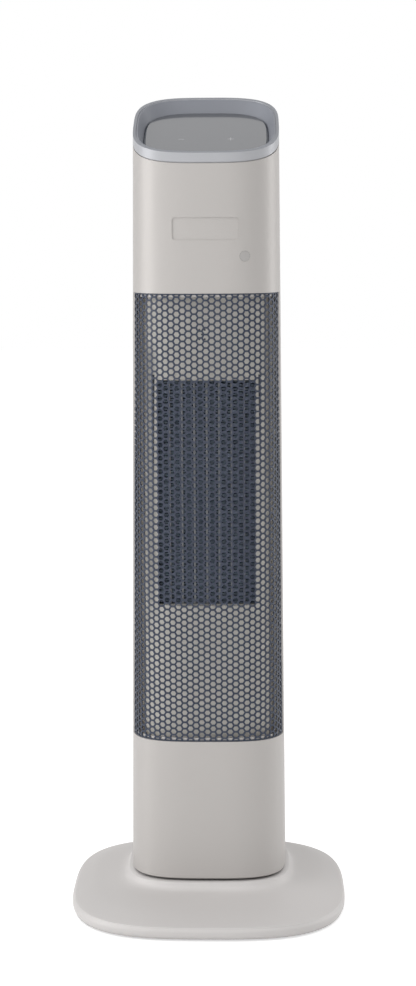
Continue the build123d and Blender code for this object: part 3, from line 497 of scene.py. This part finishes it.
# %% The holes
def flat_honeycomb(half_width, low, high):
    """Honeycomb on the flat sheet, cut off at a narrow plain border."""
    flat = bmesh.new()
    column_pitch = 1.5 * CELL_RADIUS
    row_pitch = sqrt(3) * CELL_RADIUS
    columns = int(half_width / column_pitch) + 2
    rows = int((high - low) / row_pitch) + 3
    turns = [(cos(pi / 3 * corner), sin(pi / 3 * corner)) for corner in range(6)]
    for column in range(-columns, columns + 1):
        for row in range(rows):
            x = column * column_pitch
            z = low + (row - 0.5 + 0.5 * (column % 2)) * row_pitch
            outer, inner = ([flat.verts.new((x + radius * c, z + radius * s, 0)) for c, s in turns]
                            for radius in (CELL_RADIUS, HOLE_RADIUS))
            for corner in range(6):
                beside = (corner + 1) % 6
                flat.faces.new((outer[corner], outer[beside], inner[beside], inner[corner]))
    print("cells laid out:", (2 * columns + 1) * rows)
    bmesh.ops.remove_doubles(flat, verts=flat.verts, dist=WELD)
    inside_x = half_width - SHEET_BORDER
    inside_low, inside_high = low + SHEET_BORDER, high - SHEET_BORDER
    for place, normal in (((inside_x, 0, 0), (1, 0, 0)), ((-inside_x, 0, 0), (-1, 0, 0)),
                          ((0, inside_low, 0), (0, -1, 0)), ((0, inside_high, 0), (0, 1, 0))):
        everything = flat.verts[:] + flat.edges[:] + flat.faces[:]
        bmesh.ops.bisect_plane(flat, geom=everything, plane_co=place, plane_no=normal,
                               clear_outer=True)
    add_border(flat, half_width, (low, inside_low, inside_high, high))
    return flat


def add_border(flat, half_width, heights):
    """Plain strips round the honeycomb: two along the ends, one up each side."""
    low, inside_low, inside_high, high = heights
    places = [mix(-half_width, half_width, step / BORDER_STEPS) for step in range(BORDER_STEPS + 1)]
    for bottom, top in ((low, inside_low), (inside_high, high)):
        row = [(flat.verts.new((x, bottom, 0)), flat.verts.new((x, top, 0))) for x in places]
        for here, there in zip(row, row[1:]):
            flat.faces.new((here[0], there[0], there[1], here[1]))
    inside_x = half_width - SHEET_BORDER
    for left, right in ((-half_width, -inside_x), (inside_x, half_width)):
        corners = ((left, inside_low), (right, inside_low),
                   (right, inside_high), (left, inside_high))
        flat.faces.new([flat.verts.new((x, z, 0)) for x, z in corners])


def hex_sheet():
    """The bent sheet with its thickness, as one closed mesh."""
    flat = flat_honeycomb(sheet_half, GRILLE_LOW + SHEET_FIT, GRILLE_HIGH - SHEET_FIT)
    flat.verts.index_update()
    front = [wrapped(v.co.x, v.co.y) for v in flat.verts]
    back = [wrapped(v.co.x, v.co.y, SHEET_THICKNESS) for v in flat.verts]
    count = len(front)
    faces = []
    for face in flat.faces:
        loop = [v.index for v in face.verts]
        faces.append(loop)
        faces.append([index + count for index in reversed(loop)])
    for rim in flat.edges:
        if len(rim.link_faces) == 1:
            loop = rim.link_loops[0]
            start, end = loop.vert.index, loop.link_loop_next.vert.index
            faces.append((end, start, start + count, end + count))
    flat.free()
    return front + back, faces


sheet_paint = lacquer("slate_sheet_lacquer", (0.023, 0.032, 0.056), roughness=0.5)
sheet = piece("hex_sheet", *hex_sheet(), sheet_paint, "tower", "mesh", smooth=False)
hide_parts("mesh_grille")

# %% [markdown]
# ## Fins of the heating block
# Between the ceramic bars of such a block, thin aluminium is folded back and forth. Each column is
# one zigzag ribbon, so it is a row of points that swing from side to side, pulled back into depth.

# %% Folded fins
fin_low, fin_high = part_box("heater_fins")
FIN_COLUMNS = 8
STRIP_WIDTH = 1.8 * MM
FIN_PITCH = 1.15 * MM
RIBBON = 0.16 * MM


def fin_ribbon(left, right, name):
    """One folded ribbon between two ceramic bars."""
    points, faces = [], []
    folds = int((fin_high[2] - fin_low[2]) / FIN_PITCH)
    for fold in range(folds):
        x = left if fold % 2 else right
        z = fin_low[2] + fold * FIN_PITCH
        for y in (fin_low[1], fin_high[1]):
            points.append((x, y, z))
            points.append((x, y, z + RIBBON))
    for fold in range(folds - 1):
        here, there = 4 * fold, 4 * fold + 4
        for first, second in ((0, 1), (1, 3), (3, 2), (2, 0)):
            faces.append((here + first, there + first, there + second, here + second))
    faces.append((0, 1, 3, 2))
    last = 4 * (folds - 1)
    faces.append((last, last + 2, last + 3, last + 1))
    return piece(name, points, faces, fin_metal, "tower", "fins", smooth=False)


column_width = (fin_high[0] - fin_low[0] - (FIN_COLUMNS - 1) * STRIP_WIDTH) / FIN_COLUMNS
for column in range(FIN_COLUMNS):
    left = fin_low[0] + column * (column_width + STRIP_WIDTH)
    ribbon = fin_ribbon(left, left + column_width, f"fin_ribbon_{column + 1}")
    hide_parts("heater_fins")

# %% [markdown]
# ## The dome of the base
# In the solids the dome is a stack of straight bands, and each band's edge would catch the light.
# Here the same rings are joined by a smooth curve. It passes through every ring, so the dome keeps
# its size, and only the bands between them swell or sink by a fraction of a millimetre.

# %% Smooth dome
BASE_HALF_SIZES = (121.4 * MM, 111.7 * MM)
PEDESTAL_HALF_SIZES = (72.1 * MM, 59.5 * MM)
BASE_EXPONENT = 3.1
DOME_STEPS = ((0.00, 3.9, 5.0), (0.00, 3.9, 2.2), (0.00, 1.2, 2.2), (0.00, 0.0, 5.0),
              (0.00, 0.0, 8.5), (0.00, 1.3, 11.0), (0.00, 4.0, 12.7), (0.35, 0.0, 15.6),
              (0.65, 0.0, 17.2), (0.86, 0.0, 18.8), (0.95, 0.0, 21.2), (1.00, 0.0, 26.0),
              (1.00, 14.0, 26.0), (1.00, 14.0, 23.5))
CURVED_FROM, CURVED_TO = 4, 11
DOME_POINTS = 144
CURVE_PARTS = 6


def dome_ring(share, inset, height):
    """One ring of the dome, a share of the way from its edge to the pedestal."""
    half_width, half_depth = (mix(low, high, share) - inset * MM
                              for low, high in zip(BASE_HALF_SIZES, PEDESTAL_HALF_SIZES))
    exponent = mix(BASE_EXPONENT, TOWER_EXPONENT, share)
    ring = []
    for step in range(DOME_POINTS):
        x, y = squircle_point(half_width, half_depth, exponent, 2 * pi * step / DOME_POINTS)
        ring.append(Vector((x, y + share * TOWER_Y, height * MM)))
    return ring


def smooth_between(before, start, end, after, share):
    """Point on the curve that runs through four points in turn."""
    square, cube = share ** 2, share ** 3
    return 0.5 * (2 * start + (end - before) * share
                  + (2 * before - 5 * start + 4 * end - after) * square
                  + (3 * start - before - 3 * end + after) * cube)


def dome():
    """All rings of the dome, with curved ones between the outer edge and the pedestal's top."""
    rings = [dome_ring(*step) for step in DOME_STEPS]
    fine = rings[:CURVED_FROM]
    for index in range(CURVED_FROM, CURVED_TO):
        near = rings[index - 1:index + 3]
        if index == CURVED_TO - 1:
            near[3] = near[2]
        for part in range(CURVE_PARTS):
            fine.append([smooth_between(*points, part / CURVE_PARTS) for points in zip(*near)])
    fine += rings[CURVED_TO:]
    points = [tuple(point) for ring in fine for point in ring]
    return points, ring_faces(len(fine), DOME_POINTS)


smooth_dome = piece("smooth_dome", *dome(), base_paint, "base", "shell")
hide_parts("base_cover")

# %% [markdown]
# ## The touch panel
# The panel is a dark grey gloss plate with two faint touch marks, so pale that they only show at an
# angle. They stay plain: a plus and a minus. Each mark is a mask worked out from the distance to
# its middle, and the mask only lightens the colour.

# %% Panel finish
panel_low, panel_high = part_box("control_panel")
MARK_SPREAD = 21.0 * MM
MARK_REACH = 2.6 * MM
MARK_STROKE = 0.35 * MM
MARK_PLACE = 0.42
MARK_BLUR = 0.1 * MM
panel_gloss = Finish("panel_gloss", (0.062, 0.066, 0.078), 0.16, Coat_Weight=1.0,
                     Coat_Roughness=0.04)
x, y, z = panel_gloss.axes()
mark_y = mix(panel_low[1], panel_high[1], MARK_PLACE)
marks = None
for side in (-1, 1):
    across = abs(x - side * MARK_SPREAD)
    along = abs(y - mark_y)
    bar = across.below(MARK_REACH, MARK_BLUR) * along.below(MARK_STROKE, MARK_BLUR)
    marks = bar if marks is None else marks + bar
    if side > 0:
        marks = marks + across.below(MARK_STROKE, MARK_BLUR) * along.below(MARK_REACH, MARK_BLUR)
panel_gloss.vary_colour(marks.ramp(0.0, 1.0, 0.0, 0.35), (0.6, 0.6, 0.62))
panel_gloss.vary_roughness(panel_gloss.noise(60, detail=3.0) * 0.06 + 0.12)
dress("control_panel", panel_gloss)

window_plastic = Finish("sensor_window", (0.42, 0.405, 0.395), 0.3, Coat_Weight=0.3)
window_plastic.vary_roughness(window_plastic.noise(400) * 0.08 + 0.18)
dress("sensor_window", window_plastic)

# %% [markdown]
# ## Floor, light and camera
# The photograph is a studio shot on white. A white floor takes the object's soft shadow, and the
# world is white to the camera and to reflections. Large soft lamps do the rest: a stronger one from
# the left, which gives the bright left flank, and weaker ones from the right, above and in front.


# %% Studio
FLOOR_SIZE = 12
FLOOR_GLOW = 0.55
FILL_STRENGTH = 0.5


def background_rays(tree):
    """1 for the rays that show the background: straight, mirrored or through glass."""
    path = tree.nodes.new("ShaderNodeLightPath")
    seen = [Value(tree, path.outputs[name])
            for name in ("Is Camera Ray", "Is Glossy Ray", "Is Transmission Ray")]
    return (seen[0] + seen[1] + seen[2]).ramp(0.0, 1.0, 0.0, 1.0)


def studio_floor():
    """A large pale floor that keeps the object's shadow."""
    bpy.ops.mesh.primitive_plane_add(size=FLOOR_SIZE, location=(0, 0, 0))
    floor = bpy.context.object
    floor.name = "floor"
    finish = Finish("floor_white", (0.84, 0.84, 0.84), 0.9)
    glow = background_rays(finish.tree) * FLOOR_GLOW
    finish.shader.inputs["Emission Color"].default_value = (1.0, 1.0, 1.0, 1.0)
    finish.tree.links.new(glow.socket, finish.shader.inputs["Emission Strength"])
    floor.data.materials.append(finish.material)


def world_light(strength):
    """White to the eye and in reflections, a soft fill for everything else."""
    world = bpy.data.worlds.new("studio")
    bpy.context.scene.world = world
    world.use_nodes = True
    tree = world.node_tree
    background = tree.nodes["Background"]
    seen = background_rays(tree)
    background.inputs["Color"].default_value = (1.0, 1.0, 1.0, 1.0)
    tree.links.new((seen * (1.0 - strength) + strength).socket, background.inputs["Strength"])


studio_floor()
world_light(FILL_STRENGTH)

# %% Lamps
LAMPS = {
    "left_softbox": ((-2.3, -0.9, 1.0), (0, 0, 0.35), (1.6, 2.4), 34),
    "right_softbox": ((2.0, 0.5, 0.9), (0, 0, 0.35), (0.9, 2.0), 14),
    "top_softbox": ((-0.4, -0.9, 2.5), (0, 0, 0.3), (1.8, 1.6), 14),
    "front_softbox": ((-0.5, -2.6, 0.8), (0, 0, 0.35), (1.8, 1.6), 8),
}


def lamp(name, location, target, size, power):
    """A large soft area lamp aimed at a point, its power in watts."""
    data = bpy.data.lights.new(name, "AREA")
    data.shape = "RECTANGLE"
    data.size, data.size_y = size
    data.energy = power
    made = bpy.data.objects.new(name, data)
    bpy.context.collection.objects.link(made)
    made.location = location
    aim = Vector(target) - Vector(location)
    made.rotation_euler = aim.to_track_quat("-Z", "Y").to_euler()


for name, (location, target, size, power) in LAMPS.items():
    lamp(name, location, target, size, power)
print("lamps:", len(LAMPS))

# %% [markdown]
# ## Camera
# The camera was worked out from the photograph: it stands about 1.6 m away, a little below the
# heater's top and to its right, and looks down by some nine degrees.

# %% Camera
CAMERA_YAW = -0.022
CAMERA_PITCH = 0.1603
CAMERA_ROLL = -0.0047
CAMERA_DISTANCE = 1.5786
CAMERA_HEIGHT = 0.6221
FOCAL_PIXELS = 1831.1
IMAGE_WIDTH, IMAGE_HEIGHT = 416, 986
AIM_COLUMN, AIM_ROW = 207.4, 493.0
SENSOR = 36.0

camera_data = bpy.data.cameras.new("camera")
camera = bpy.data.objects.new("camera", camera_data)
bpy.context.collection.objects.link(camera)
camera_data.sensor_fit = "VERTICAL"
camera_data.sensor_height = SENSOR
camera_data.lens = FOCAL_PIXELS * SENSOR / IMAGE_HEIGHT
camera_data.shift_x = (IMAGE_WIDTH / 2 - AIM_COLUMN) / IMAGE_HEIGHT
camera_data.shift_y = (AIM_ROW - IMAGE_HEIGHT / 2) / IMAGE_HEIGHT
to_side = Matrix.Rotation(-CAMERA_YAW, 3, "Z")
place = to_side @ Vector((0, -CAMERA_DISTANCE, CAMERA_HEIGHT))
turn = (to_side @ Matrix.Rotation(pi / 2 - CAMERA_PITCH, 3, "X")
        @ Matrix.Rotation(CAMERA_ROLL, 3, "Z"))
camera.matrix_world = Matrix.Translation(place) @ turn.to_4x4()
bpy.context.scene.camera = camera
bpy.context.scene.view_settings.view_transform = "Standard"
print("camera at", [round(v, 3) for v in place], "lens", round(camera_data.lens, 1))
